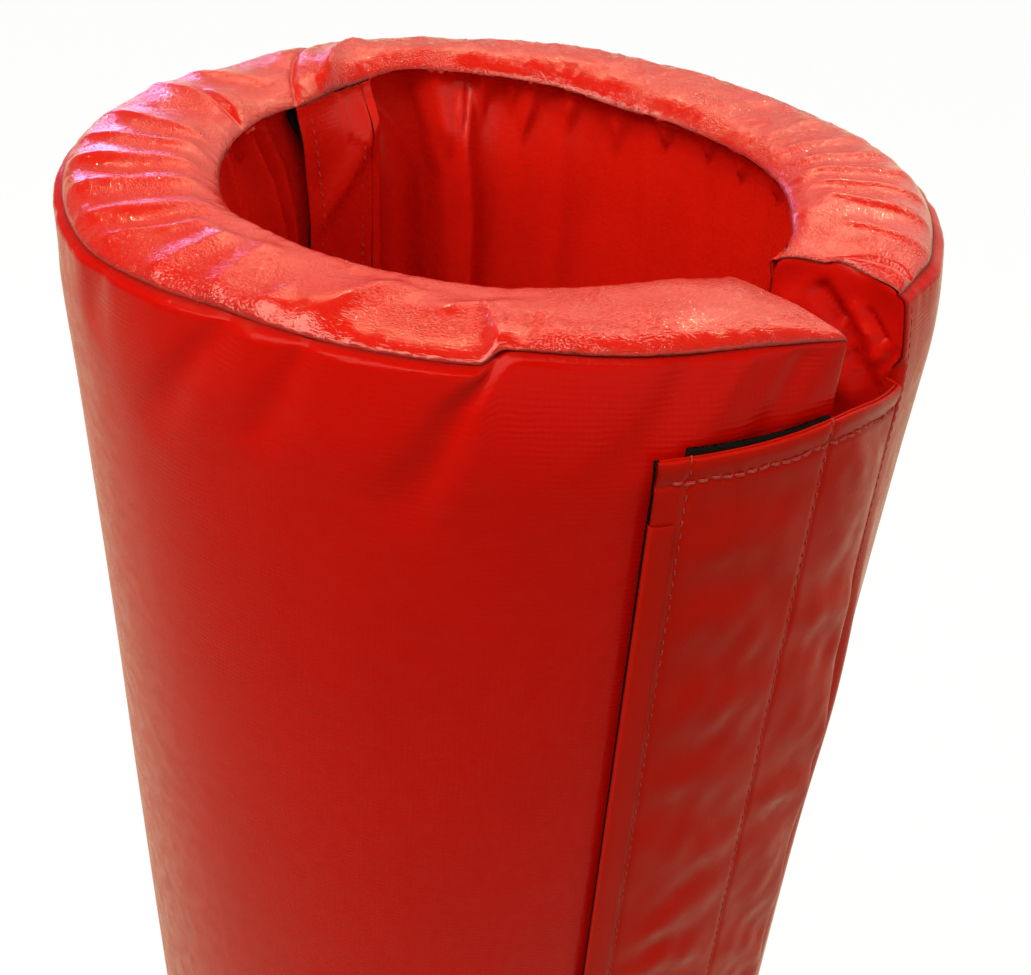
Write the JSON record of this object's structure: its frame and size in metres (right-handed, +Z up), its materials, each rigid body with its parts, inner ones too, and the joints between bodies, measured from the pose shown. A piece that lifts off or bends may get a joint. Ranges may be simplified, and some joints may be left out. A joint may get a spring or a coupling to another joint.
{
  "type": "pole pad",
  "caption": "Tall slit foam sleeve in a glossy red sewn vinyl cover, wrapped round a post and closed by a lapped hook-and-loop flap.",
  "frame": {"origin": "on the tube's axis, at the floor under the bottom cap, at the centre of the base of the bounding box", "axes": "+Z up along the tube's axis, the slit and the flap at -Y, the access closure of the lining at +Y"},
  "size_m": [0.305, 0.3099, 1.1999],
  "materials": {
    "foam": "closed-cell polyethylene foam, matte",
    "cover_vinyl": "PVC-coated polyester, glossy, with a fine woven ridge",
    "lining_vinyl": "PVC-coated polyester, satin",
    "flap_vinyl": "PVC-coated polyester, satin",
    "tape": "woven nylon hook-and-loop tape",
    "thread": "bonded polyester thread"
  },
  "bodies": {
    "pad_left": {"foam_core_left": "foam", "outer_panel_left": "cover_vinyl", "top_cap_left": "cover_vinyl", "bottom_cap_left": "cover_vinyl", "slit_end_left": "lining_vinyl", "lining_left": "lining_vinyl", "lining_back": "lining_vinyl", "access_loop_tape": "tape", "body_loop_tape": "tape"},
    "pad_right": {"foam_core_right": "foam", "outer_panel_right": "cover_vinyl", "top_cap_right": "cover_vinyl", "bottom_cap_right": "cover_vinyl", "slit_end_right": "lining_vinyl", "lining_right": "lining_vinyl", "slit_edge_stitch": "thread"},
    "flap_root": {"flap_face_root": "flap_vinyl", "flap_backing_root": "flap_vinyl", "flap_top_stitch_root": "thread", "flap_bottom_stitch_root": "thread"},
    "flap_tip": {"flap_face_tip": "flap_vinyl", "flap_backing_tip": "flap_vinyl", "flap_side_hem": "flap_vinyl", "flap_hook_tape": "tape", "flap_edge_stitch": "thread", "flap_tape_stitch": "thread", "flap_top_stitch_tip": "thread", "flap_bottom_stitch_tip": "thread"},
    "placket": {"access_placket": "lining_vinyl", "access_hook_tape": "tape", "access_edge_stitch": "thread", "access_root_stitch": "thread"}
  },
  "joints": [
    {"name": "pad_spread", "type": "hinge", "parent": "pad_left", "child": "pad_right", "pos_m": [0.08764, 0.12517, 0.6], "axis": [0, 0, 1], "range_deg": [0, 35], "stiffness_Nm_per_rad": 15},
    {"name": "flap_peel", "type": "hinge", "parent": "pad_right", "child": "flap_root", "pos_m": [0.01976, -0.15121, 0.6], "axis": [0, 0, 1], "range_deg": [0, 140]},
    {"name": "flap_tip_peel", "type": "hinge", "parent": "flap_root", "child": "flap_tip", "pos_m": [-0.02393, -0.15547, 0.6], "axis": [0, 0, 1], "range_deg": [0, 70]},
    {"name": "placket_peel", "type": "hinge", "parent": "pad_left", "child": "placket", "pos_m": [0.02079, 0.09311, 0.6], "axis": [0, 0, 1], "range_deg": [0, 100]}
  ]
}
